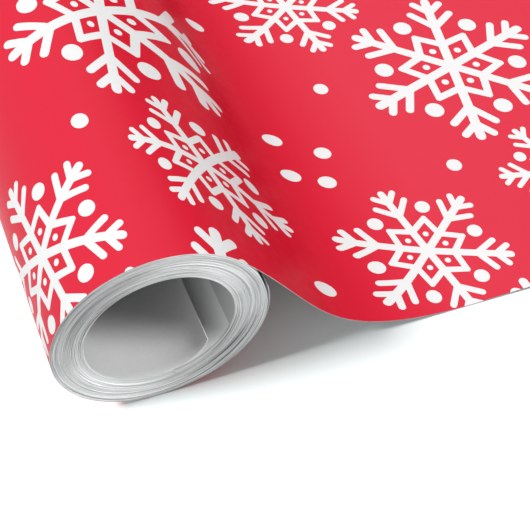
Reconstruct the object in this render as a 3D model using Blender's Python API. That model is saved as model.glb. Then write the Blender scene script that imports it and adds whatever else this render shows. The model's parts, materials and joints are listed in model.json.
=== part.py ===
"""A coreless roll of gift wrapping paper, partly unrolled.

One long web of paper is wound into a roll that lies on its side. Its free end comes off the
top of the roll, falls in an S-curve and lies flat on the surface to the right. The web is
modelled in the stretches that move against each other: the flat lead sheet, the falling curve,
the outermost wrap, five bands of wound turns, the innermost turn and its springy free tail.

Frame: +Y runs along the roll's axis from the front end to the back end, +X runs along the
flat sheet away from the roll, +Z is up. The origin is the bottom centre of the whole object.
"""
from math import cos, pi, radians, sin

import bmesh
import bpy
from mathutils import Vector

# Driving dimensions, in metres.
WEB_WIDTH = 0.700            # width of the paper, which is the roll's length
ROLL_RADIUS = 0.030          # to the outside of the outermost wrap
BORE_RADIUS = 0.0207         # to the inside of the innermost turn
PAPER = 0.0005               # stand-in thickness of a single layer of paper
GAP = 0.0003                 # clearance between neighbouring solids
SHEET_REACH = 0.280          # from the roll's axis to the sheet's free end

# How the web falls from the roll in an S-curve. The free corner clings to the roll at the
# front end, and the curve grows fuller over the first stretch of the roll's length.
WRAP_START_ANGLE = 80.0      # degrees above +X, where the falling piece takes over
WRAP_END_ANGLE = 380.0       # the outermost wrap tucks in under the falling curve here
FALL_REACH = 3.45 * ROLL_RADIUS      # from the roll's axis to the touch-down line
FULL_AFTER = 4.0 * ROLL_RADIUS       # from the front end to where the curve is fullest
LEAVE_ANGLES = (45.0, 71.0)          # where the web leaves the circle: front end, fullest
FALL_PULLS = (1.25 * ROLL_RADIUS, 1.96 * ROLL_RADIUS)    # the curve's upper handle, likewise
LAND_PULLS = (1.83 * ROLL_RADIUS, 2.45 * ROLL_RADIUS)    # the curve's lower handle, likewise

# The wound turns, as outer radii of five bands from the outside in.
TURN_BANDS = {
    "turns_outer": 0.0292,
    "turns_mid_outer": 0.0279,
    "turns_middle": 0.0258,
    "turns_mid_inner": 0.0243,
    "turns_inner": 0.0229,
}
INNERMOST_OUTER = BORE_RADIUS + PAPER

# The innermost free end, in degrees below +X, and how far it stands off the bore's wall.
TAIL_ROOT_ANGLE = -76.0
TAIL_END_ANGLE = -34.0
INNERMOST_START_ANGLE = -376.0
TAIL_LIFT = 0.0015

# Facets.
RING_STEPS = 72
DEGREES_PER_STEP = 5.0
TAIL_STEPS = 12
SHOULDER_STEPS = 7
CURVE_STEPS = 24
FALL_STATIONS = 6            # sections from the front end to where the curve is fullest
SHEET_STEPS = 6
SHARP_ANGLE = radians(30.0)

# Places that follow from the sizes.
AXIS_X = (ROLL_RADIUS - SHEET_REACH) / 2
AXIS = Vector((AXIS_X, 0.0, ROLL_RADIUS))
FRONT_Y = -WEB_WIDTH / 2
GAP_AT_RADIUS = GAP / ROLL_RADIUS * 180.0 / pi
TOUCH_DOWN_X = AXIS_X + FALL_REACH
SHEET_END_X = AXIS_X + SHEET_REACH

# Finishes of the printed face, the bare back and the cut edges: linear RGBA, roughness, metallic.
PRINTED = ((0.80, 0.045, 0.080, 1.0), 0.38, 0.0)
BARE_BACK = ((0.82, 0.83, 0.83, 1.0), 0.62, 0.0)
CUT_EDGES = ((0.58, 0.59, 0.59, 1.0), 0.75, 0.0)


def clear_objects():
    """Remove whatever objects the open file holds."""
    for thing in list(bpy.data.objects):
        bpy.data.objects.remove(thing, do_unlink=True)


def make_material(name, finish):
    """A sub-part's own Principled material, from a finish's colour, roughness and metallic."""
    colour, roughness, metallic = finish
    material = bpy.data.materials.new(name)
    material.use_nodes = True
    shader = material.node_tree.nodes["Principled BSDF"]
    shader.inputs["Base Color"].default_value = colour
    shader.inputs["Roughness"].default_value = roughness
    shader.inputs["Metallic"].default_value = metallic
    return material


def on_circle(radius, angle):
    """The point of a circle about the roll's axis, as (x, z), at an angle in degrees."""
    turn = radians(angle)
    return (AXIS.x + radius * cos(turn), AXIS.z + radius * sin(turn))


def bezier(start, start_handle, end_handle, end, t):
    """A point of a cubic Bezier curve in the XZ plane."""
    s = 1.0 - t
    weights = (s ** 3, 3 * s * s * t, 3 * s * t * t, t ** 3)
    points = (start, start_handle, end_handle, end)
    return tuple(sum(w * p[axis] for w, p in zip(weights, points)) for axis in (0, 1))


def offset_left(points, distance):
    """Move a run of (x, z) points to the left of its own direction by a distance."""
    moved = []
    last = len(points) - 1
    for i, (x, z) in enumerate(points):
        ahead = points[min(i + 1, last)]
        behind = points[max(i - 1, 0)]
        along = Vector((ahead[0] - behind[0], ahead[1] - behind[1])).normalized()
        moved.append((x - along.y * distance, z + along.x * distance))
    return moved


def finish_solid(name, bm, pivot, finish):
    """Turn a bmesh, drawn around the pivot, into a placed and smoothly shaded sub-part."""
    mesh = bpy.data.meshes.new(name)
    bmesh.ops.recalc_face_normals(bm, faces=list(bm.faces))
    bm.to_mesh(mesh)
    bm.free()
    mesh.shade_smooth()
    mesh.set_sharp_from_angle(angle=SHARP_ANGLE)
    mesh.materials.append(make_material(name + "_paper", finish))
    thing = bpy.data.objects.new(name, mesh)
    thing.location = pivot
    bpy.context.collection.objects.link(thing)
    return thing


def web_solid(name, side_a, side_b, pivot, finish, closed=False):
    """A stretch of web: the strip between two runs of (x, z) points, drawn out along Y."""
    bm = bmesh.new()
    rail_a = [bm.verts.new((x - pivot.x, FRONT_Y - pivot.y, z - pivot.z)) for x, z in side_a]
    rail_b = [bm.verts.new((x - pivot.x, FRONT_Y - pivot.y, z - pivot.z)) for x, z in side_b]
    count = len(rail_a)
    for i in range(count if closed else count - 1):
        j = (i + 1) % count
        bm.faces.new((rail_a[i], rail_a[j], rail_b[j], rail_b[i]))
    drawn = bmesh.ops.extrude_face_region(bm, geom=list(bm.faces))
    moved = [item for item in drawn["geom"] if isinstance(item, bmesh.types.BMVert)]
    bmesh.ops.translate(bm, verts=moved, vec=(0.0, WEB_WIDTH, 0.0))
    return finish_solid(name, bm, pivot, finish)


def lofted_solid(name, sections, pivot, finish):
    """A skin over sections of one form, given as (y, closed run of (x, z) points)."""
    bm = bmesh.new()
    rings = []
    for y, outline in sections:
        rings.append([bm.verts.new((x - pivot.x, y - pivot.y, z - pivot.z)) for x, z in outline])
    for ring, following in zip(rings, rings[1:]):
        for i in range(len(ring)):
            j = (i + 1) % len(ring)
            bm.faces.new((ring[i], ring[j], following[j], following[i]))
    for ring in (rings[0], rings[-1]):
        half = len(ring) // 2
        for i in range(half - 1):
            bm.faces.new((ring[i], ring[i + 1], ring[-2 - i], ring[-1 - i]))
    return finish_solid(name, bm, pivot, finish)


def arc(radius, start, end):
    """Points along a circle, no further apart than one facet."""
    steps = max(1, round(abs(end - start) / DEGREES_PER_STEP))
    return [on_circle(radius, start + (end - start) * i / steps) for i in range(steps + 1)]


def make_outer_wrap():
    """The outermost turn, from the roll's top round to below the falling curve."""
    start = WRAP_START_ANGLE + GAP_AT_RADIUS
    outer = arc(ROLL_RADIUS, start, WRAP_END_ANGLE)
    inner = arc(ROLL_RADIUS - PAPER, start, WRAP_END_ANGLE)
    return web_solid("outer_wrap", outer, inner, AXIS, PRINTED)


def eased(t):
    """Nought to one with a soft start and a soft end."""
    return t * t * (3.0 - 2.0 * t)


def between(pair, share):
    """A value part of the way from the first of a pair to the second."""
    return pair[0] + (pair[1] - pair[0]) * share


def fall_outline(fullness):
    """The falling piece's section, from the roll's top down its upper face and back up."""
    leave = between(LEAVE_ANGLES, fullness)
    turn = radians(leave)
    start = on_circle(ROLL_RADIUS, leave)
    pull = between(FALL_PULLS, fullness)
    start_handle = (start[0] + pull * sin(turn), start[1] - pull * cos(turn))
    end = (TOUCH_DOWN_X, PAPER)
    end_handle = (TOUCH_DOWN_X - between(LAND_PULLS, fullness), PAPER)
    shoulder = [i / SHOULDER_STEPS for i in range(SHOULDER_STEPS)]
    upper = [on_circle(ROLL_RADIUS, between((WRAP_START_ANGLE, leave), t)) for t in shoulder]
    fall = [i / CURVE_STEPS for i in range(CURVE_STEPS + 1)]
    upper += [bezier(start, start_handle, end_handle, end, t) for t in fall]
    lower = offset_left(upper, -PAPER)
    lower[0] = on_circle(ROLL_RADIUS - PAPER, WRAP_START_ANGLE)
    lower[-1] = (TOUCH_DOWN_X, 0.0)
    return upper + lower[::-1]


def make_lead_curve():
    """The web falling from the roll's top to the touch-down line."""
    sections = []
    for i in range(FALL_STATIONS + 1):
        share = i / FALL_STATIONS
        sections.append((FRONT_Y + FULL_AFTER * share, fall_outline(eased(share))))
    sections.append((FRONT_Y + WEB_WIDTH, fall_outline(1.0)))
    return lofted_solid("lead_curve", sections, AXIS, PRINTED)


def make_lead_sheet():
    """The part of the web that lies flat, hinged where it touches down."""
    start = TOUCH_DOWN_X + GAP
    span = SHEET_END_X - start
    xs = [start + span * i / SHEET_STEPS for i in range(SHEET_STEPS + 1)]
    pivot = Vector((TOUCH_DOWN_X + GAP / 2, 0.0, PAPER))
    return web_solid("lead_sheet", [(x, PAPER) for x in xs], [(x, 0.0) for x in xs], pivot, PRINTED)


def make_turn_band(name, outer_radius, inner_radius):
    """A group of tightly wound turns, as one closed ring."""
    angles = [360.0 * i / RING_STEPS for i in range(RING_STEPS)]
    outer = [on_circle(outer_radius, angle) for angle in angles]
    inner = [on_circle(inner_radius, angle) for angle in angles]
    return web_solid(name, outer, inner, AXIS, CUT_EDGES, closed=True)


def make_turn_bands():
    """All five bands, each a gap smaller than the one around it."""
    names = list(TURN_BANDS)
    radii = list(TURN_BANDS.values()) + [INNERMOST_OUTER + GAP]
    innermost = len(names) - 1
    for i, name in enumerate(names):
        inner_radius = radii[i + 1] if i == innermost else radii[i + 1] + GAP
        make_turn_band(name, radii[i], inner_radius)


def make_innermost_turn():
    """The last turn before the free end, which lines the bore."""
    gap_here = GAP / BORE_RADIUS * 180.0 / pi
    start = TAIL_ROOT_ANGLE - gap_here
    outer = arc(INNERMOST_OUTER, start, INNERMOST_START_ANGLE)
    inner = arc(BORE_RADIUS, start, INNERMOST_START_ANGLE)
    return web_solid("innermost_turn", outer, inner, AXIS, BARE_BACK)


def make_inner_tail():
    """The innermost free end, which springs off the wall towards its edge."""
    outer = []
    inner = []
    for i in range(TAIL_STEPS + 1):
        t = i / TAIL_STEPS
        angle = TAIL_ROOT_ANGLE + (TAIL_END_ANGLE - TAIL_ROOT_ANGLE) * t
        lift = TAIL_LIFT * t * t
        outer.append(on_circle(INNERMOST_OUTER - lift, angle))
        inner.append(on_circle(BORE_RADIUS - lift, angle))
    root_x, root_z = on_circle(BORE_RADIUS + PAPER / 2, TAIL_ROOT_ANGLE)
    return web_solid("inner_tail", outer, inner, Vector((root_x, 0.0, root_z)), BARE_BACK)


def build():
    """Build the whole roll."""
    clear_objects()
    make_lead_sheet()
    make_lead_curve()
    make_outer_wrap()
    make_turn_bands()
    make_innermost_turn()
    make_inner_tail()


build()
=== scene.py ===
"""Looks of a roll of gift wrapping paper that lies on its side with its free end unrolled.

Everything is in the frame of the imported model: +Y along the roll's axis from the front end to the
back end, +X along the flat sheet, +Z up. Lengths are in metres, or in roll radii where a comment
says so: s is the way along the web from under the roll's axis, y the distance from the front end.
"""
import json
from math import atan2, cos, hypot, pi, radians, sin

import bmesh
import bpy
import numpy as np
from mathutils import Matrix, Vector
from mathutils.geometry import delaunay_2d_cdt

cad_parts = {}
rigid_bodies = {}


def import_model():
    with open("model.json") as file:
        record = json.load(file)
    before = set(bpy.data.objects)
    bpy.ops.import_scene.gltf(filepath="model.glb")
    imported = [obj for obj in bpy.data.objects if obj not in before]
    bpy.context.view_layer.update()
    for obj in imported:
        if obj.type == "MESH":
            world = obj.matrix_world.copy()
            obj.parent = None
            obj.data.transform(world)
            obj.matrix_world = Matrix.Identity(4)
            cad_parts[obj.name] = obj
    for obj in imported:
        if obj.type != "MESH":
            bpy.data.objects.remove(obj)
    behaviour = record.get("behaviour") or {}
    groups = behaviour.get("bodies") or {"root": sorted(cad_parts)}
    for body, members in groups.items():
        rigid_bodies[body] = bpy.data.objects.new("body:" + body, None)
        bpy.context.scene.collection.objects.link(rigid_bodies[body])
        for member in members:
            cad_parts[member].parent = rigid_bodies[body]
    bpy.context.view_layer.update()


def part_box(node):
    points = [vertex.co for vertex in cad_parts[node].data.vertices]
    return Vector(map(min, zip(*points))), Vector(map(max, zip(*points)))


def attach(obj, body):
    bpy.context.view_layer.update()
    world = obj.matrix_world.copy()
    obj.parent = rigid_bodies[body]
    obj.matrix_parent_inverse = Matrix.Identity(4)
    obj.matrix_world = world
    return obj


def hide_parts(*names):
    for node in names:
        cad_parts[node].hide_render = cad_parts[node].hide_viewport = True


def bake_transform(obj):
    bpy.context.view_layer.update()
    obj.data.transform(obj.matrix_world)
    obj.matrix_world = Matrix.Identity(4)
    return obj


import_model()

# ---------------------------------------------------------------- places, from the CAD's boxes
wrap_low, wrap_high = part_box("outer_wrap")
ROLL_R = (wrap_high.z - wrap_low.z) / 2
AXIS_X = wrap_low.x + ROLL_R
AXIS_Z = wrap_low.z + ROLL_R
FRONT_Y = wrap_low.y
WEB_WIDTH = wrap_high.y - wrap_low.y
TOUCH_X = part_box("lead_curve")[1].x
SHEET_END_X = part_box("lead_sheet")[1].x

PAPER = 0.00014              # thickness of the real paper

# The S-curve, as the CAD has it: values at the front end and where the curve is fullest.
LEAVE_ANGLES = (45.0, 71.0)
FALL_PULLS = (1.25, 1.96)    # in roll radii
LAND_PULLS = (1.83, 2.45)
FULL_AFTER = 4.0
TOUCH_S = (TOUCH_X - AXIS_X) / ROLL_R
SHEET_END_S = (SHEET_END_X - AXIS_X) / ROLL_R
TUCK_S = -5.70               # where the outermost turn ends, under the falling curve
WEB_Y = WEB_WIDTH / ROLL_R

# ---------------------------------------------------------------- the web's shape, in roll radii
TABLE_STEP = 0.01
TABLE_ROWS = 49
LEAN = 0.036                 # the loose outer turns sit this much towards the sheet
BULGE_AT = radians(-38.0)    # where they stand out a little more
BULGE_WIDTH = radians(45.0)
BULGE = 0.016


def smooth(t):
    """Nought to one with a soft start and a soft end, for numbers or arrays."""
    t = np.clip(t, 0.0, 1.0)
    return t * t * (3.0 - 2.0 * t)


def mix(pair, share):
    """A value part of the way from the first of a pair to the second."""
    return pair[0] + (pair[1] - pair[0]) * share


def bump(angle, centre, width):
    """A smooth hill in an angle, one at its centre and nought beyond its width."""
    off = (np.asarray(angle) - centre + pi) % (2 * pi) - pi
    return smooth(1.0 - np.abs(off) / width)


def wound_reach(angle):
    """The outermost turn's radius about the axis, in roll radii."""
    lean = LEAN * np.cos(angle) * bump(angle, pi, radians(115.0))
    lean = lean + LEAN * np.maximum(np.cos(angle), 0.0) * bump(angle, 0.0, radians(88.0))
    return 1.0 + lean + BULGE * bump(angle, BULGE_AT, BULGE_WIDTH)


def section(fullness):
    """The web's outer face at one fullness, from past its tucked end to the touch-down, and its s."""
    leave = radians(mix(LEAVE_ANGLES, fullness))
    angles = np.linspace(radians(410.0), leave, 1400)
    reach = np.where(angles > radians(90.0), wound_reach(angles), 1.0)
    circle = np.stack([reach * np.cos(angles), 1.0 + reach * np.sin(angles)], 1)
    top = PAPER / ROLL_R
    start = np.array([cos(leave), 1.0 + sin(leave)])
    pull, land = mix(FALL_PULLS, fullness), mix(LAND_PULLS, fullness)
    handles = (start + pull * np.array([sin(leave), -cos(leave)]), np.array([TOUCH_S - land, top]))
    end = np.array([TOUCH_S, top])
    t = np.linspace(0.0, 1.0, 500)[:, None]
    fall = (1 - t) ** 3 * start + 3 * t * (1 - t) ** 2 * handles[0]
    fall = fall + 3 * t * t * (1 - t) * handles[1] + t ** 3 * end
    run = np.concatenate([circle[:-1], fall])
    gone = np.concatenate([[0.0], np.cumsum(np.hypot(*np.diff(run, axis=0).T))])
    return run, gone - gone[-1] + TOUCH_S


def section_table(places):
    """The sections from least to most full, each at the same places along the web."""
    table = np.zeros((TABLE_ROWS, len(places), 2))
    for row in range(TABLE_ROWS):
        run, along = section(row / (TABLE_ROWS - 1))
        for axis in (0, 1):
            table[row, :, axis] = np.interp(places, along, run[:, axis])
    return table


TABLE_S = np.arange(TUCK_S - 0.1, TOUCH_S + TABLE_STEP, TABLE_STEP)
TABLE = section_table(TABLE_S)

# How far parts of the flat sheet stand off the surface, in roll radii.
FRONT_LIFT, WAVE_LIFT, END_LIFT = 0.030, 0.005, 0.012


def lift(s, y):
    """The flat sheet's height off the surface: a faint wave, and more at its edges."""
    near_front = np.exp(-np.maximum(y, 0.0) / 0.9)
    hump = smooth((s - TOUCH_S + 0.5) / 1.3) * smooth((6.9 - s) / 2.6)
    rolling = 0.5 + 0.5 * np.sin(0.9 * s + 0.35 * y + 0.8 * np.sin(0.31 * y))
    settled = smooth((s - TOUCH_S) / 1.5)
    far = smooth((s - SHEET_END_S + 1.6) / 1.6)
    return FRONT_LIFT * near_front * hump + WAVE_LIFT * rolling * settled + END_LIFT * far * far


def web_point(s, y):
    """Points of the web's outer face, for arrays of s and y."""
    row = smooth(y / FULL_AFTER) * (TABLE_ROWS - 1)
    low = np.minimum(row.astype(int), TABLE_ROWS - 2)
    part = (row - low)[:, None]
    col = (np.minimum(s, TOUCH_S) - TABLE_S[0]) / TABLE_STEP
    left = np.clip(col.astype(int), 0, len(TABLE_S) - 2)
    ahead = (col - left)[:, None]
    near = TABLE[low, left] * (1 - ahead) + TABLE[low, left + 1] * ahead
    far = TABLE[low + 1, left] * (1 - ahead) + TABLE[low + 1, left + 1] * ahead
    point = near * (1 - part) + far * part
    point[:, 0] += np.maximum(s - TOUCH_S, 0.0)
    point[:, 1] += lift(s, y)
    return np.stack([AXIS_X + point[:, 0] * ROLL_R, FRONT_Y + y * ROLL_R, point[:, 1] * ROLL_R], 1)


def web_normal(s, y):
    """The outer face's normals."""
    step = 0.015
    across = web_point(np.minimum(s + step, SHEET_END_S + step), y) - web_point(s - step, y)
    back = web_point(s, y + step) - web_point(s, y - step)
    normal = np.cross(across, back)
    return normal / np.linalg.norm(normal, axis=1)[:, None]


# ---------------------------------------------------------------- the print, in roll radii
# The pattern repeats by two steps. A flake is (centre, size, turn in degrees).
REPEAT = ((0.101, 4.144), (4.087, 0.102))
FLAKES = (
    ((4.876, 3.323), 0.850, 48.7),
    ((3.249, 0.780), 0.619, 8.5),
    ((1.240, 1.247), 0.548, 19.6),
)
DOTS = (
    (2.329, 2.037), (2.337, 2.597), (2.069, 0.355), (4.114, 1.814),
    (2.636, 1.942), (2.755, 2.387), (3.163, 3.397),
)
DOT_RADIUS = 0.09
# A flake of size one: a six-armed star with two pairs of twigs on each arm, a diamond in each
# notch with a small spot in it, and a ball beyond each diamond.
ARM_REACH, ARM_HALF = 1.43, 0.070
TWIG_HALF = 0.058
TWIGS = ((0.85, 1.15, 0.30), (1.18, 1.38, 0.20))     # root, reach, spread
DIAMOND_JOINT, DIAMOND_CORNER = 0.46, 0.735
SPOT_AT, SPOT_RADIUS = 0.375, 0.055
BALL_AT, BALL_RADIUS = 1.0, 0.136

# The paper's print is drawn out where the web bends: stretch at places along the web.
STRETCH_S = (-2.4, -1.4, -0.4, 0.6, 1.4, 2.2, 3.0)
STRETCH = (0.789, 0.958, 0.793, 1.744, 2.002, 1.521, 1.0)

UNDRAWN_S = 6.0              # where the print's own scale reads the same as the web's


def print_scale(places):
    """The undistorted print's place u at each of many places along the web."""
    rate = 1 / np.interp(places, STRETCH_S, STRETCH)
    gone = np.concatenate([[0.0], np.cumsum((rate[1:] + rate[:-1]) / 2 * np.diff(places))])
    return gone + UNDRAWN_S - np.interp(UNDRAWN_S, places, gone)


SCALE_S = np.linspace(TUCK_S - 1.0, SHEET_END_S + 1.0, 4000)
SCALE_U = print_scale(SCALE_S)


def print_to_web(u):
    """The way along the web of a place along the undistorted print."""
    return np.interp(u, SCALE_U, SCALE_S)


def web_to_print(s):
    """The place along the undistorted print of a way along the web."""
    return np.interp(s, SCALE_S, SCALE_U)


def disc(centre, radius, sides):
    """A round outline."""
    return [
        (centre[0] + radius * cos(2 * pi * i / sides), centre[1] + radius * sin(2 * pi * i / sides))
        for i in range(sides)
    ]


def stroke(start, end, half, cap=6):
    """The outline of a straight stroke with round ends."""
    heading = atan2(end[1] - start[1], end[0] - start[0])
    outline = []
    for centre, turn in ((end, heading - pi / 2), (start, heading + pi / 2)):
        for i in range(cap + 1):
            a = turn + pi * i / cap
            outline.append((centre[0] + half * cos(a), centre[1] + half * sin(a)))
    return outline


def polar(radius, angle, side=0.0):
    """A point at a distance and angle, moved sideways."""
    return (
        radius * cos(angle) - side * sin(angle),
        radius * sin(angle) + side * cos(angle),
    )


def flake_strokes():
    """All the strokes of a flake, before they are merged."""
    strokes = []
    for k in range(6):
        arm = radians(60 * k + 30)
        strokes.append(stroke((0.0, 0.0), polar(ARM_REACH, arm), ARM_HALF))
        for root, reach, spread in TWIGS:
            for side in (-1, 1):
                strokes.append(stroke(polar(root, arm), polar(reach, arm, side * spread), TWIG_HALF))
        for side in (-1, 1):
            corner = polar(DIAMOND_CORNER, arm + side * radians(30))
            strokes.append(stroke(polar(DIAMOND_JOINT, arm), corner, TWIG_HALF))
    return strokes


def merged_outlines(outlines):
    """The outer and inner outlines of the union of closed outlines."""
    coords = [p for outline in outlines for p in outline]
    faces, first = [], 0
    for outline in outlines:
        faces.append(list(range(first, first + len(outline))))
        first += len(outline)
    made = delaunay_2d_cdt([Vector(p) for p in coords], [], faces, 1, 1e-6, True)
    points = made[0]
    ways = {}
    for t in [t for t, inside in zip(made[2], made[5]) if inside]:
        for a, b in zip(t, t[1:] + t[:1]):
            ways[a, b] = True
    following = {a: b for a, b in ways if (b, a) not in ways}
    loops = []
    while following:
        start, here = following.popitem()
        loop = [start]
        while here != start:
            loop.append(here)
            here = following.pop(here)
        loops.append(thinned([tuple(points[i]) for i in loop]))
    return loops


def thinned(loop, least=0.004):
    """An outline without the points that hardly bend it."""
    kept = []
    for i, p in enumerate(loop):
        before, after = (kept[-1] if kept else loop[i - 1]), loop[(i + 1) % len(loop)]
        ax, ay = p[0] - before[0], p[1] - before[1]
        bx, by = after[0] - before[0], after[1] - before[1]
        if abs(ax * by - ay * bx) > least * max(hypot(bx, by), 1e-9):
            kept.append(p)
    return kept


def print_outlines(low_u, high_u, high_y):
    """The outlines of everything white on the sheet, in print coordinates."""
    flake = merged_outlines(flake_strokes())
    for k in range(6):
        between = radians(60 * k)
        flake.append(disc(polar(SPOT_AT, between), SPOT_RADIUS, 10))
        flake.append(disc(polar(BALL_AT, between), BALL_RADIUS, 20))
    outlines = []
    steps = [(i, j) for i in range(-2, 9) for j in range(-6, 6)]
    for i, j in steps:
        move = (i * REPEAT[0][0] + j * REPEAT[1][0], i * REPEAT[0][1] + j * REPEAT[1][1])
        for (cu, cy), size, turn in FLAKES:
            cu, cy = cu + move[0], cy + move[1]
            reach = 1.52 * size
            if low_u - reach < cu < high_u + reach and -reach < cy < high_y + reach:
                c, n = size * cos(radians(turn)), size * sin(radians(turn))
                for loop in flake:
                    outlines.append([(cu + c * x - n * y, cy + n * x + c * y) for x, y in loop])
        for cu, cy in DOTS:
            cu, cy = cu + move[0], cy + move[1]
            if low_u - 0.1 < cu < high_u + 0.1 and -0.1 < cy < high_y + 0.1:
                outlines.append(disc((cu, cy), DOT_RADIUS, 18))
    return outlines


def grid_values():
    """Print coordinates of the lines that let the sheet bend, along the web and across it."""
    wound = np.arange(TUCK_S, -0.5, 0.06)
    falling = np.arange(-0.5, TOUCH_S + 0.4, 0.08)
    lying = np.arange(TOUCH_S + 0.4, SHEET_END_S, 0.35)
    along = web_to_print(np.concatenate([wound, falling, lying]))[1:]
    across = np.concatenate([np.arange(0.2, FULL_AFTER + 0.3, 0.2), np.arange(5.0, WEB_Y, 1.0)])
    return along, across


def cut_sheet(outlines, low_u, high_u, high_y, along, across):
    """Triangles of a flat sheet cut along outlines and grid lines: points, triangles, is white."""
    coords = [(low_u, 0.0), (high_u, 0.0), (high_u, high_y), (low_u, high_y)]
    faces = [[0, 1, 2, 3]]
    for outline in outlines:
        first = len(coords)
        coords += outline
        faces.append(list(range(first, len(coords))))
    edges = []
    for u in along:
        edges.append((len(coords), len(coords) + 1))
        coords += [(u, 0.0), (u, high_y)]
    for y in across:
        edges.append((len(coords), len(coords) + 1))
        coords += [(low_u, y), (high_u, y)]
    made = delaunay_2d_cdt([Vector(p) for p in coords], edges, faces, 1, 1e-7, True)
    points, triangles, origins = made[0], made[2], made[5]
    kept = [(t, len(o) % 2 == 0) for t, o in zip(triangles, origins) if 0 in o]
    return np.array([tuple(p) for p in points]), [t for t, _ in kept], [w for _, w in kept]


def compact(points, triangles):
    """Only the points that triangles use, renumbered."""
    used = sorted({i for t in triangles for i in t})
    place = {old: new for new, old in enumerate(used)}
    return points[used], [tuple(place[i] for i in t) for t in triangles]


def rim_of(triangles):
    """The directed edges that only one triangle has."""
    ways = {(a, b) for t in triangles for a, b in zip(t, t[1:] + t[:1])}
    return [(a, b) for a, b in ways if (b, a) not in ways]


# ---------------------------------------------------------------- mesh and material helpers
def add_mesh(name, points, faces, materials, face_material=None, normals=None):
    """A mesh object with its materials, smooth shaded."""
    mesh = bpy.data.meshes.new(name)
    mesh.from_pydata([tuple(p) for p in points], [], [tuple(f) for f in faces])
    for material in materials:
        mesh.materials.append(material)
    if face_material is not None:
        mesh.polygons.foreach_set("material_index", np.asarray(face_material, np.int32))
    mesh.shade_smooth()
    thing = bpy.data.objects.new(name, mesh)
    bpy.context.scene.collection.objects.link(thing)
    if normals is not None:
        mesh.normals_split_custom_set_from_vertices([tuple(n) for n in normals])
    return thing


def face_out(thing, sharp):
    """Turn a closed mesh's faces outwards, and keep the edges sharper than an angle crisp."""
    bm = bmesh.new()
    bm.from_mesh(thing.data)
    bmesh.ops.recalc_face_normals(bm, faces=list(bm.faces))
    bm.to_mesh(thing.data)
    bm.free()
    thing.data.shade_smooth()
    thing.data.set_sharp_from_angle(angle=radians(sharp))


class Nodes:
    """A short way to write a material's node tree."""

    def __init__(self, name):
        self.material = bpy.data.materials.new(name)
        self.material.use_nodes = True
        self.tree = self.material.node_tree
        self.shader = self.tree.nodes["Principled BSDF"]

    def fill(self, socket, value):
        """Link an input to another node's output, or give it a plain value."""
        if isinstance(value, bpy.types.NodeSocket):
            self.tree.links.new(value, socket)
        else:
            socket.default_value = value

    def add(self, kind, inputs=None, **settings):
        """A new node with its inputs filled and its settings made."""
        node = self.tree.nodes.new(kind)
        for key, value in settings.items():
            setattr(node, key, value)
        for key, value in (inputs or {}).items():
            self.fill(node.inputs[key], value)
        return node

    def noise(self, where, scale, detail=3.0, rough=0.55):
        """Noise about 0.5."""
        inputs = {"Vector": where, "Scale": scale, "Detail": detail, "Roughness": rough}
        return self.add("ShaderNodeTexNoise", inputs).outputs["Fac"]

    def spread(self, value, low, high, to_low, to_high):
        """A value's range mapped to another, and clamped to it."""
        inputs = {"Value": value, 1: low, 2: high, 3: to_low, 4: to_high}
        return self.add("ShaderNodeMapRange", inputs).outputs["Result"]

    def sums(self, operation, a, b=0.0):
        """One step of arithmetic."""
        return self.add("ShaderNodeMath", {0: a, 1: b}, operation=operation).outputs[0]

    def blend(self, share, a, b):
        """A colour part of the way from a to b."""
        node = self.add("ShaderNodeMix", data_type="RGBA")
        for key, value in (("Factor", share), ("A", a), ("B", b)):
            self.fill([i for i in node.inputs if i.name == key and i.enabled][0], value)
        return [o for o in node.outputs if o.enabled][0]

    def bumped(self, heights):
        """Bumps from (height, distance, strength), one upon the other, on the shader."""
        normal = None
        for height, distance, strength in heights:
            inputs = {"Height": height, "Distance": distance, "Strength": strength}
            if normal is not None:
                inputs["Normal"] = normal
            normal = self.add("ShaderNodeBump", inputs).outputs["Normal"]
        self.tree.links.new(normal, self.shader.inputs["Normal"])

    def set(self, **values):
        """Fill the shader's own inputs."""
        for key, value in values.items():
            self.fill(self.shader.inputs[key.replace("_", " ")], value)


# ---------------------------------------------------------------- colours and materials
INK = (0.645, 0.0055, 0.026, 1.0)
INK_DEEP = (0.620, 0.0048, 0.023, 1.0)
INK_PAINTED_SHEEN = (0.650, 0.0340, 0.062, 1.0)
BARE = (0.770, 0.768, 0.770, 1.0)
BARE_WARM = (0.750, 0.750, 0.748, 1.0)
# Painted shade: the bore's paper is the same white back, made darker because little light reaches inside.
BORE_SHADED_PALE = (0.500, 0.502, 0.502, 1.0)
BORE_SHADED_WARM = (0.460, 0.462, 0.460, 1.0)
EDGE_LIGHT = (0.880, 0.885, 0.885, 1.0)
EDGE_DARK = (0.290, 0.293, 0.295, 1.0)
GAP_SHADE = (0.110, 0.112, 0.114, 1.0)
# Painted sheen: the ink is paler on the flat sheet and on the roll's far side, in place of the satin's
# sheen there: from x where it starts to where it is full.
PAINTED_SHEEN_SHEET = (TOUCH_X - 0.0535, TOUCH_X + 0.0015)
PAINTED_SHEEN_ROLL = (AXIS_X + 0.020, AXIS_X - 0.005)
PAINTED_SHEEN_ROLL_SHARE = 0.7
# Painted light and shade on the wound cut edges, by angle about the axis: palest at this angle,
EDGE_PAINTED_LIGHT_AT = radians(40.0)         # and straight across the roll from there
# how much darker the painted shade makes the edges midway between the palest sides
EDGE_PAINTED_SHADE = 0.55
FINE_LINES, WIDE_LINES = 5200.0, 1500.0          # lines per metre of radius, roughly


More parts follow.
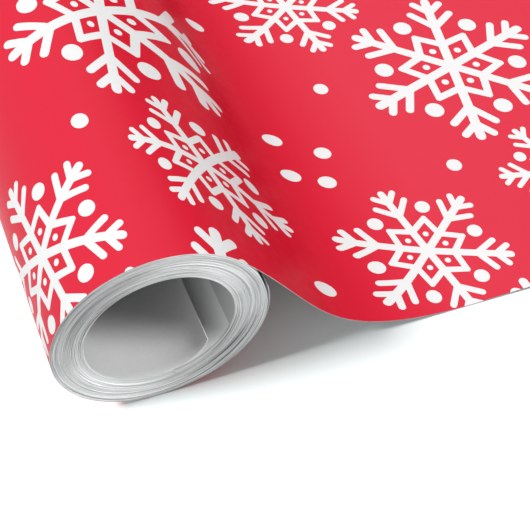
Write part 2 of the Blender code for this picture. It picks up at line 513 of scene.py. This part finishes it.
def printed_face(name, colour, other, roughness, flat=None):
    """Satin printed paper: faintly mottled ink over fine fibres, with painted sheen where a flat colour is
    given.
    """
    n = Nodes(name)
    where = n.add("ShaderNodeTexCoord").outputs["Object"]
    mottle = n.noise(where, 260.0, 4.0)
    fibre = n.noise(where, 3200.0, 2.0)
    cloud = n.noise(where, 22.0, 3.0)
    share = n.spread(n.sums("ADD", mottle, cloud), 0.7, 1.3, 0.0, 1.0)
    ink = n.blend(share, colour, other)
    # painted sheen: the ink turns paler along x on the flat sheet and on the roll's far side
    if flat is not None:
        x = n.add("ShaderNodeSeparateXYZ", {"Vector": where}).outputs["X"]
        sheen_on_sheet = n.spread(x, *PAINTED_SHEEN_SHEET, 0.0, 1.0)
        sheen_on_roll = n.spread(x, *PAINTED_SHEEN_ROLL, 0.0, PAINTED_SHEEN_ROLL_SHARE)
        ink = n.blend(n.sums("MAXIMUM", sheen_on_sheet, sheen_on_roll), ink, flat)
    n.set(Base_Color=ink)
    n.set(Roughness=n.spread(mottle, 0.3, 0.7, roughness - 0.04, roughness + 0.05))
    n.set(Specular_IOR_Level=0.05)
    n.bumped([(cloud, 0.0006, 0.20), (mottle, 0.00003, 0.20), (fibre, 0.000008, 0.25)])
    return n.material


def bare_paper(name, light, warm):
    """The uncoated white back: matt, with visible fibres and a faint cloudiness."""
    n = Nodes(name)
    where = n.add("ShaderNodeTexCoord").outputs["Object"]
    cloud = n.noise(where, 45.0, 3.0)
    fibre = n.noise(where, 1500.0, 4.0, 0.65)
    share = n.spread(n.sums("ADD", cloud, fibre), 0.75, 1.25, 0.0, 1.0)
    n.set(Base_Color=n.blend(share, light, warm), Roughness=0.72, Specular_IOR_Level=0.3)
    n.bumped([(cloud, 0.0004, 0.25), (fibre, 0.00002, 0.35)])
    return n.material


def cut_edge(name):
    """The cut edges of many layers: fine lines that follow the turns, with painted light on two opposite
    sides and painted shade between.
    """
    n = Nodes(name)
    where = n.add("ShaderNodeTexCoord").outputs["Object"]
    moved = n.add("ShaderNodeVectorMath", {0: where, 1: (AXIS_X, 0.0, AXIS_Z)}, operation="SUBTRACT")
    parts = n.add("ShaderNodeSeparateXYZ", {"Vector": moved.outputs[0]})
    x, z = parts.outputs["X"], parts.outputs["Z"]
    radius = n.sums("SQRT", n.sums("ADD", n.sums("MULTIPLY", x, x), n.sums("MULTIPLY", z, z)))
    about = n.sums("ARCTAN2", z, x)

    def rings(lines, rough):
        inputs = {"X": n.sums("MULTIPLY", radius, lines), "Y": n.sums("SINE", about),
                  "Z": n.sums("COSINE", about)}
        return n.noise(n.add("ShaderNodeCombineXYZ", inputs).outputs[0], 1.0, 2.0, rough)

    fine, wide = rings(FINE_LINES, 0.6), rings(WIDE_LINES, 0.5)
    grain = n.noise(where, 2600.0, 3.0)
    # painted light and shade by angle about the axis: paler on two opposite sides, darker between
    painted_light_turn = n.sums("SUBTRACT", n.sums("MULTIPLY", about, 2.0), 2 * EDGE_PAINTED_LIGHT_AT)
    dark = n.sums("ADD", n.spread(fine, 0.36, 0.56, 0.40, 0.0), n.spread(wide, 0.34, 0.50, 0.22, 0.0))
    dark = n.sums("ADD", dark, n.spread(grain, 0.3, 0.7, 0.10, 0.0))
    dark = n.sums("ADD", dark, n.spread(n.sums("COSINE", painted_light_turn), -1.0, 1.0, EDGE_PAINTED_SHADE, 0.0))
    dark = n.sums("MINIMUM", dark, 1.0)
    n.set(Base_Color=n.blend(dark, EDGE_LIGHT, EDGE_DARK), Roughness=0.82, Specular_IOR_Level=0.2)
    n.bumped([(fine, 0.00012, 0.5), (grain, 0.00003, 0.3)])
    return n.material


def make_lead_web():
    """The outermost turn, the S-curve and the flat sheet as the one printed web they are."""
    low_u, high_u = web_to_print(TUCK_S), web_to_print(SHEET_END_S)
    along, across = grid_values()
    outlines = print_outlines(low_u, high_u, WEB_Y)
    flat, triangles, white = cut_sheet(outlines, low_u, high_u, WEB_Y, along, across)
    flat, triangles = compact(flat, triangles)
    rim = rim_of(triangles)
    # The back is a plain grid whose border has the same points as the front's.
    border = chain(rim)
    edges = [(i, (i + 1) % len(border)) for i in range(len(border))]
    coords = [Vector(flat[i]) for i in border]
    for u in along:
        edges.append((len(coords), len(coords) + 1))
        coords += [Vector((u, 0.0)), Vector((u, WEB_Y))]
    for y in across:
        edges.append((len(coords), len(coords) + 1))
        coords += [Vector((low_u, y)), Vector((high_u, y))]
    made = delaunay_2d_cdt(coords, edges, [list(range(len(border)))], 1, 1e-7, True)
    back_flat = np.array([tuple(p) for p in made[0]])
    back_triangles = [tuple(t) for t in made[2]]
    back_of_border = {}
    for new, olds in enumerate(made[3]):
        for old in olds:
            if old < len(border):
                back_of_border[border[old]] = new
    s, y = print_to_web(flat[:, 0]), flat[:, 1]
    back_s, back_y = print_to_web(back_flat[:, 0]), back_flat[:, 1]
    front_normals = web_normal(s, y)
    back_normals = web_normal(back_s, back_y)
    front_points = web_point(s, y)
    back_points = web_point(back_s, back_y) - PAPER * back_normals
    count, back_count = len(front_points), len(back_points)
    # The cut edge has points of its own, so that its corners stay crisp.
    rim_front = {a: count + back_count + i for i, (a, _) in enumerate(rim)}
    rim_back = {a: count + back_count + len(rim) + i for i, (a, _) in enumerate(rim)}
    points = [front_points, back_points]
    points.append(front_points[[a for a, _ in rim]])
    points.append(back_points[[back_of_border[a] for a, _ in rim]])
    outward = []
    for a, _ in rim:
        u, v = flat[a]
        side = (float(abs(u - high_u) < 1e-5) - float(abs(u - low_u) < 1e-5),
                float(abs(v - WEB_Y) < 1e-5) - float(abs(v) < 1e-5))
        ends = web_point(np.array([s[a] - 0.01, s[a] + 0.01]), np.array([v, v]))
        tangent = (ends[1] - ends[0]) / np.linalg.norm(ends[1] - ends[0])
        if side[1]:
            outward.append((0.0, side[1], 0.0))
        else:
            outward.append(tuple(side[0] * tangent))
    normals = np.concatenate([front_normals, -back_normals, outward, outward])
    faces = list(triangles)
    kinds = [1 if w else 0 for w in white]
    faces += [tuple(count + i for i in t[::-1]) for t in back_triangles]
    kinds += [2] * len(back_triangles)
    for a, b in rim:
        faces.append((rim_front[b], rim_front[a], rim_back[a], rim_back[b]))
        kinds.append(3)
    materials = [
        printed_face("printed_red", INK, INK_DEEP, 0.36, INK_PAINTED_SHEEN),
        printed_face("printed_white", BARE, BARE_WARM, 0.38),
        bare_paper("web_back", BARE, BARE_WARM),
        cut_edge("web_edge"),
    ]
    web = add_mesh("lead_web", np.concatenate(points), faces, materials, kinds, normals)
    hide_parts("lead_sheet", "lead_curve", "outer_wrap")
    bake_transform(web)


def chain(rim):
    """The points of a border's directed edges, in one run."""
    following = dict(rim)
    start = min(following)
    run, here = [start], following[start]
    while here != start:
        run.append(here)
        here = following[here]
    return run


RING_STEPS = 200
GAP_FILL = 0.00026           # a band's outer turns loosen by this much and close the gap
GROOVE_AT, GROOVE_WIDTH = radians(-40.0), radians(46.0)
RIM = 0.0012                 # depth of the pale rim that shows between neighbouring turns
LOOSE_RIM = 0.006            # the loose outer turns stand apart further down
GAP_RIM = 0.0007             # depth of the shade in a gap


def layered_ring(name, body, nodes, inner, outer, layers, seed, gap=None, rim=RIM):
    """Wound turns as a ring, with each layer's cut edge standing a little in or out at both ends.

    inner and outer give the radius for an array of angles. gap is the material of the inner
    wall's rim, and rim the depth of the pale rim on the outer wall.
    """
    rng = np.random.default_rng(seed)
    angle = 2 * pi * np.arange(RING_STEPS) / RING_STEPS
    r_in, r_out = inner(angle), outer(angle)
    widths = rng.uniform(0.6, 1.4, layers)
    bounds = np.concatenate([[0.0], np.cumsum(widths) / widths.sum()])
    rows = []
    for end in (0, 1):
        marks = [(0.0, np.full_like(angle, GAP_RIM))]
        for i in range(layers):
            stand = rng.uniform(-0.00012, 0.00012) + 0.00008 * np.sin(
                rng.integers(1, 4) * angle + rng.uniform(0, 2 * pi))
            share = 0.16 * (bounds[i + 1] - bounds[i])
            deep = 0.00022 + rng.uniform(0, 0.0004) * (rng.random() < 0.35)
            if i:
                marks.append((bounds[i], stand + deep))
            marks.append((bounds[i] + share * (i > 0), stand))
            marks.append((bounds[i + 1] - share * (i < layers - 1), stand))
        marks.append((1.0, np.full_like(angle, rim)))
        if end:
            marks = marks[::-1]
        for share, depth in marks:
            r = r_in + (r_out - r_in) * share
            y = (FRONT_Y + depth) if end == 0 else (FRONT_Y + WEB_WIDTH - depth)
            rows.append(np.stack([AXIS_X + r * np.cos(angle), y, AXIS_Z + r * np.sin(angle)], 1))
    count = len(rows)
    outer_wall, inner_wall, gaps = [count // 2 - 1], [count - 1], [0, count - 2]
    faces, kinds = [], []
    for j in range(count):
        k = (j + 1) % count
        kind = 1 * (j in outer_wall) + 2 * (j in inner_wall) + 3 * (j in gaps)
        for i in range(RING_STEPS):
            n = (i + 1) % RING_STEPS
            corners = (j * RING_STEPS + i, j * RING_STEPS + n, k * RING_STEPS + n, k * RING_STEPS + i)
            faces.append(corners)
            kinds.append(kind)
    ring = add_mesh(name, np.concatenate(rows), faces, [EDGES, RED, BACK, gap or GAPS], kinds)
    face_out(ring, 32.0)
    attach(ring, body)
    if nodes:
        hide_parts(*nodes)


def steady(radius):
    """A radius that is the same all round."""
    return lambda angle: np.full_like(angle, radius)


def grooved(radius, depth):
    """A radius that closes the gap outside it, but falls back on one side and leaves a dark groove."""
    return lambda angle: radius + GAP_FILL - (GAP_FILL + depth) * bump(angle, GROOVE_AT, GROOVE_WIDTH)


TUCKED_AT, TUCKED_WIDTH = radians(40.0), radians(75.0)


def under_wrap(inset):
    """The radius just under the outermost turn, which lets the falling curve leave at the top."""
    def radius(angle):
        tucked = bump(angle, TUCKED_AT, TUCKED_WIDTH)
        return ROLL_R * (1.0 + (wound_reach(angle) - 1.0) * (1.0 - tucked)) - inset
    return radius


LEAF_START, LEAF_END = radians(-76.0), radians(-376.0)
BORE_R = 0.0201              # the innermost turn's inner face where it starts
LEAF_OUT = 0.02095           # and its outer face where it ends
LEAF_SHIFT = (0.0003, 0.0006)          # the bore isn't quite in the middle of the roll
SKIN = 0.00002               # room between layers that would coincide


def leaf_radius(angle):
    """The innermost turn's inner face: it winds outwards from the free end's root."""
    wound = (LEAF_OUT - BORE_R - PAPER) * (LEAF_START - angle) / (LEAF_START - LEAF_END)
    return BORE_R + wound + LEAF_SHIFT[0] * np.cos(angle) + LEAF_SHIFT[1] * np.sin(angle)


def bore_wall(angle):
    """The inner radius of the turns behind the innermost one, which follow it round."""
    wound = LEAF_START - (LEAF_START - np.asarray(angle)) % (2 * pi)
    return leaf_radius(np.maximum(wound, LEAF_END)) + PAPER + SKIN


def thin_sheet(name, place, turns, across, edge):
    """Paper over a grid of angles and y: place(t, y) gives its face's point and normal arrays."""
    t, y = np.meshgrid(turns, across, indexing="ij")
    face, normal = place(t.ravel(), y.ravel())
    back = face - PAPER * normal
    rows, cols = t.shape
    count = rows * cols
    faces, kinds = [], []
    for i in range(rows - 1):
        for j in range(cols - 1):
            a, b = i * cols + j, (i + 1) * cols + j
            faces.append((a, b, b + 1, a + 1))
            faces.append((count + a, count + a + 1, count + b + 1, count + b))
            kinds += [0, 0]
    border = [i * cols for i in range(rows)] + [(rows - 1) * cols + j for j in range(1, cols)]
    border += [i * cols + cols - 1 for i in range(rows - 2, -1, -1)] + list(range(cols - 2, 0, -1))
    for a, b in zip(border, border[1:] + border[:1]):
        faces.append((a, count + a, count + b, b))
        kinds.append(1)
    # the paper's faces take the bore lining and its painted shade
    thing = add_mesh(name, np.concatenate([face, back]), faces, [SHADED_LINING, edge], kinds)
    face_out(thing, 40.0)
    return thing


def make_inner_leaf():
    """The innermost turn, white side in, winding out of the bore's wall."""
    def place(t, y):
        radius = leaf_radius(t)
        point = np.stack([AXIS_X + radius * np.cos(t), y, AXIS_Z + radius * np.sin(t)], 1)
        return point, np.stack([-np.cos(t), 0 * t, -np.sin(t)], 1)
    turns = np.linspace(LEAF_START, LEAF_END, 121)
    across = np.linspace(FRONT_Y + 0.0001, FRONT_Y + WEB_WIDTH - 0.0001, 29)
    leaf = thin_sheet("inner_leaf", place, turns, across, EDGES)
    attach(leaf, "wound_inner")
    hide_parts("innermost_turn")


TAIL_ROOT, TAIL_END = radians(-84.0), radians(-34.0)
TAIL_RISES = radians(-78.0)
TAIL_LIFT = 0.0030           # how far its free edge stands off the wall


def make_tail_leaf():
    """The free inner end: it springs off the wall and its edge runs the roll's whole length."""
    def spot(t, y):
        rise = np.clip((t - TAIL_RISES) / (TAIL_END - TAIL_RISES), 0.0, 1.0)
        waver = 1.0 + 0.10 * np.sin(9.0 * y + 0.6) + 0.05 * np.sin(23.0 * y)
        radius = leaf_radius(LEAF_START) - 1.5 * SKIN - TAIL_LIFT * rise ** 2.2 * waver
        return np.stack([AXIS_X + radius * np.cos(t), y, AXIS_Z + radius * np.sin(t)], 1)

    def place(t, y):
        point = spot(t, y)
        way = spot(t + 0.002, y) - spot(t - 0.002, y)
        normal = np.stack([-way[:, 2], 0 * t, way[:, 0]], 1)
        return point, normal / np.linalg.norm(normal, axis=1)[:, None]
    turns = np.linspace(TAIL_ROOT, TAIL_END, 33)
    across = np.linspace(FRONT_Y + 0.00005, FRONT_Y + WEB_WIDTH - 0.00005, 61)
    tail = thin_sheet("tail_leaf", place, turns, across, BACK)
    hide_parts("inner_tail")
    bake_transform(tail)


EDGES = cut_edge("layer_edges")
BACK = bare_paper("paper_back", BARE, BARE_WARM)
# the bore's lining: the white back darkened as painted shade
SHADED_LINING = bare_paper("bore_paper", BORE_SHADED_PALE, BORE_SHADED_WARM)
GAPS = bare_paper("gap_shade", GAP_SHADE, GAP_SHADE)
RED = printed_face("wound_red", INK, INK_DEEP, 0.38)

# The loose turns fill the room between the outer band, which turns, and the outermost turn.
LOOSE_IN = 0.02856
INNER_BAND_OUT = 0.02315
# The bands of turns: name, inner and outer radius, layers, and the seed of their unevenness.
BANDS = (
    ("outer", steady(0.02820), steady(0.02852), 3, 12),
    ("mid_outer", steady(0.02610), grooved(0.02790, 0.00020), 13, 13),
    ("middle", steady(0.02460), grooved(0.02580, 0.00035), 9, 14),
    ("mid_inner", steady(0.02320), steady(0.02455), 9, 15),
)

make_lead_web()
layered_ring("loose_turns", "outer_layer", [], steady(LOOSE_IN), under_wrap(PAPER + 1.5 * SKIN),
             7, 11, rim=LOOSE_RIM)
for band, inner, outer, layers, seed in BANDS:
    layered_ring(f"turns_{band}_layers", f"wound_{band}", [f"turns_{band}"], inner, outer, layers, seed)
# the inner band's rim in the bore takes the lining's painted shade
layered_ring("turns_inner_layers", "wound_inner", ["turns_inner"], bore_wall, steady(INNER_BAND_OUT),
             12, 16, gap=SHADED_LINING)
make_inner_leaf()
make_tail_leaf()


# ---------------------------------------------------------------- surface, light and camera
FLOOR_REACH, FLOOR_Z = 6.0, -0.00005
FLOOR_COLOUR = (0.915, 0.955, 0.953, 1.0)        # a trace cool, against the print's red glow


def make_floor():
    """A wide plain pale surface."""
    n = Nodes("pale_surface")
    where = n.add("ShaderNodeTexCoord").outputs["Object"]
    n.set(Base_Color=FLOOR_COLOUR, Specular_IOR_Level=0.0)
    n.set(Roughness=n.spread(n.noise(where, 40.0), 0.3, 0.7, 0.85, 0.95))
    corners = [(x * FLOOR_REACH, y * FLOOR_REACH, FLOOR_Z) for x, y in ((-1, -1), (1, -1), (1, 1), (-1, 1))]
    floor = add_mesh("floor", corners, [(0, 1, 2, 3)], [n.material])


def from_left(elevation, back):
    """The way towards a light on the left, a little to the back."""
    return Vector((-cos(radians(elevation)), back, sin(radians(elevation))))


KEY_AT = from_left(76.0, 0.02)
KEY_STRENGTH, KEY_SOFTNESS = 2.22, 9.0
TABLE_AT = from_left(42.0, 0.035)
TABLE_STRENGTH, TABLE_SOFTNESS = 4.0, 12.0
SHEEN_AT = Vector((0.30, 0.56, 0.77))
SHEEN_STRENGTH, SHEEN_SOFTNESS = 0.80, 42.0
FILL_AT = Vector((0.42, -0.36, 0.83))            # from the middle of the roll's front end
FILL_POWER, FILL_SIZE = 9.2, 0.3
SKY_BASE, SKY_LEAN = 0.38, -0.75


def make_sun(name, towards, strength, softness, receivers):
    """A soft sun from one direction, on some pieces only."""
    light = bpy.data.lights.new(name, "SUN")
    light.energy = strength
    light.angle = radians(softness)
    place_light(light, Vector((0.0, 0.0, 1.0)), towards, receivers)


def place_light(light, spot, towards, receivers):
    """A lamp at a spot that lights its receivers only."""
    lamp = bpy.data.objects.new(light.name, light)
    lamp.location = spot
    lamp.rotation_euler = towards.to_track_quat("Z", "Y").to_euler()
    bpy.context.scene.collection.objects.link(lamp)
    lit = bpy.data.collections.new(light.name + "_receivers")
    for thing in receivers:
        lit.objects.link(thing)
    lamp.light_linking.receiver_collection = lit


def make_surround():
    """A pale surround, brighter on the left than on the right."""
    world = bpy.data.worlds.new("surround")
    bpy.context.scene.world = world
    world.use_nodes = True
    tree = world.node_tree
    parts = tree.nodes.new("ShaderNodeSeparateXYZ")
    tree.links.new(tree.nodes.new("ShaderNodeTexCoord").outputs["Generated"], parts.inputs[0])
    lean = tree.nodes.new("ShaderNodeMath")
    lean.operation = "MULTIPLY_ADD"
    lean.inputs[1].default_value = SKY_BASE * SKY_LEAN
    lean.inputs[2].default_value = SKY_BASE
    tree.links.new(parts.outputs["X"], lean.inputs[0])
    background = tree.nodes["Background"]
    tree.links.new(lean.outputs[0], background.inputs["Strength"])
    background.inputs["Color"].default_value = (1.0, 1.0, 1.0, 1.0)


def make_light():
    """Soft light from the upper left, a back light for the sheet's sheen, and a fill on the end."""
    make_surround()
    floor, web = bpy.data.objects["floor"], bpy.data.objects["lead_web"]
    paper = [o for o in bpy.data.objects if o.type == "MESH" and o.name != "floor"]
    make_sun("key", KEY_AT, KEY_STRENGTH, KEY_SOFTNESS, paper)
    make_sun("table_key", TABLE_AT, TABLE_STRENGTH, TABLE_SOFTNESS, [floor])
    make_sun("sheen", SHEEN_AT, SHEEN_STRENGTH, SHEEN_SOFTNESS, [web])
    light = bpy.data.lights.new("fill", "AREA")
    light.energy = FILL_POWER
    light.size = FILL_SIZE
    ends = [o for o in bpy.data.objects if o.name.endswith(("_turns", "_layers", "_leaf"))]
    place_light(light, Vector((AXIS_X, FRONT_Y, AXIS_Z)) + FILL_AT, FILL_AT, ends)


CAMERA_AT = (-1.996, -5.529, 9.176)      # in roll radii from the axis, the front end and the floor
CAMERA_AZIMUTH, CAMERA_ELEVATION, CAMERA_ROLL = -27.965, 50.562, 7.735
LENS_MM = 78.80


def make_camera():
    """The camera, above the front end and to its left, looking along the roll."""
    data = bpy.data.cameras.new("camera")
    data.sensor_width = 36.0
    data.lens = LENS_MM
    data.clip_start = 0.01
    data.clip_end = 50.0
    camera = bpy.data.objects.new("camera", data)
    a, e, roll = radians(CAMERA_AZIMUTH), radians(CAMERA_ELEVATION), radians(CAMERA_ROLL)
    look = Vector((-sin(a) * cos(e), cos(a) * cos(e), -sin(e)))
    level = look.cross(Vector((0.0, 0.0, 1.0))).normalized()
    raised = level.cross(look)
    right = cos(roll) * level + sin(roll) * raised
    up = -sin(roll) * level + cos(roll) * raised
    turn = Matrix((right, up, -look)).transposed().to_4x4()
    x, y, z = CAMERA_AT
    place = Matrix.Translation((AXIS_X + x * ROLL_R, FRONT_Y + y * ROLL_R, z * ROLL_R))
    camera.matrix_world = place @ turn
    bpy.context.scene.collection.objects.link(camera)
    bpy.context.scene.camera = camera


make_floor()
make_light()
make_camera()
bpy.context.scene.view_settings.view_transform = "Standard"

bpy.context.view_layer.update()
